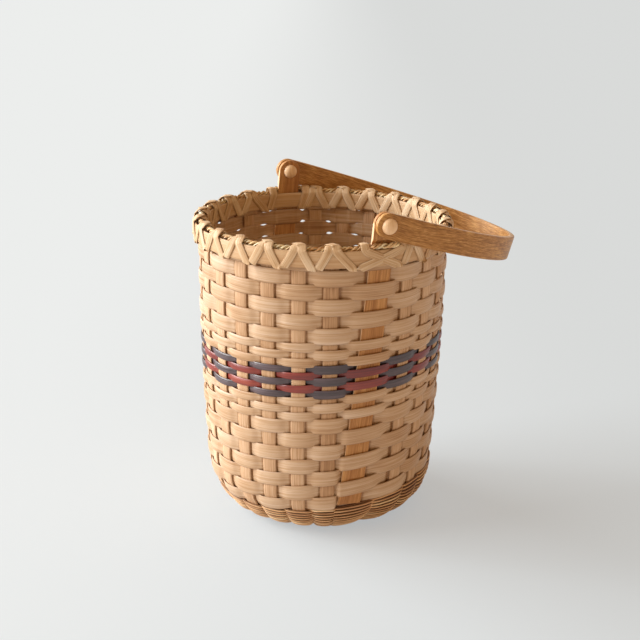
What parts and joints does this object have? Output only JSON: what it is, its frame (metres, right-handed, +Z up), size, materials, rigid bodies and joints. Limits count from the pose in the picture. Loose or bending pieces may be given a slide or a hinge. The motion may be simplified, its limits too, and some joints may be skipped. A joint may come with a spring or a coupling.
{
  "type": "swing handle basket",
  "caption": "Round woven reed basket with a twined base, a lashed rim, wooden ears and a bentwood handle that swings on pegs.",
  "frame": {"origin": "centre of the flat base, on the surface that it stands on", "axes": "+Z up; the handle's axis runs along Y between the two ears; at rest the handle droops on the +X side"},
  "size_m": [0.2672, 0.2186, 0.2652],
  "materials": {
    "natural_reed": "plain split reed, matt",
    "slate_dyed_reed": "dyed slate blue-grey, matt",
    "brick_dyed_reed": "dyed brick red, matt",
    "stake_reed": "plain split reed, matt",
    "twined_round_reed": "plain round reed, matt",
    "seagrass_rope": "twisted seagrass",
    "ear_wood": "oiled, low sheen",
    "handle_wood": "bent strip, oiled, low sheen",
    "peg_wood": "turned, pale, satin"
  },
  "bodies": {
    "basket": {"weaver_00_rim": "natural_reed", "weaver_01_natural": "natural_reed", "weaver_02_natural": "natural_reed", "weaver_03_natural": "natural_reed", "weaver_04_natural": "natural_reed", "weaver_05_natural": "natural_reed", "weaver_06_natural": "natural_reed", "weaver_07_natural": "natural_reed", "weaver_08_natural": "natural_reed", "weaver_09_slate": "slate_dyed_reed", "weaver_10_brick": "brick_dyed_reed", "weaver_11_slate": "slate_dyed_reed", "weaver_12_brick": "brick_dyed_reed", "weaver_13_slate": "slate_dyed_reed", "weaver_14_natural": "natural_reed", "weaver_15_natural": "natural_reed", "weaver_16_natural": "natural_reed", "weaver_17_natural": "natural_reed", "weaver_18_natural": "natural_reed", "weaver_19_natural": "natural_reed", "weaver_20_natural": "natural_reed", "weaver_21_natural": "natural_reed", "weaver_22_natural": "natural_reed", "weaver_23_natural": "natural_reed", "stake_01": "stake_reed", "stake_02": "stake_reed", "stake_03": "stake_reed", "stake_04": "stake_reed", "stake_05": "stake_reed", "stake_06": "stake_reed", "stake_07": "stake_reed", "stake_08": "stake_reed", "stake_09": "stake_reed", "stake_10": "stake_reed", "stake_11": "stake_reed", "stake_12": "stake_reed", "stake_13": "stake_reed", "stake_14": "stake_reed", "stake_15": "stake_reed", "stake_16": "stake_reed", "stake_17": "stake_reed", "stake_18": "stake_reed", "stake_19": "stake_reed", "stake_20": "stake_reed", "stake_21": "stake_reed", "stake_22": "stake_reed", "base_outer_twining": "twined_round_reed", "base_inner_twining": "twined_round_reed", "rim_outer_band": "natural_reed", "rim_inner_band": "natural_reed", "rim_lashing_under": "natural_reed", "rim_lashing_over": "natural_reed", "rim_filler": "seagrass_rope", "ear_front": "ear_wood", "ear_back": "ear_wood", "handle_peg_front": "peg_wood", "handle_peg_back": "peg_wood", "peg_cap_front": "peg_wood", "peg_cap_back": "peg_wood"},
    "handle": {"handle": "handle_wood"}
  },
  "joints": [
    {"name": "handle_swing", "type": "hinge", "parent": "basket", "child": "handle", "pos_m": [0.00849, 0, 0.25572], "axis": [0, -1, 0], "range_deg": [0, 200]}
  ]
}
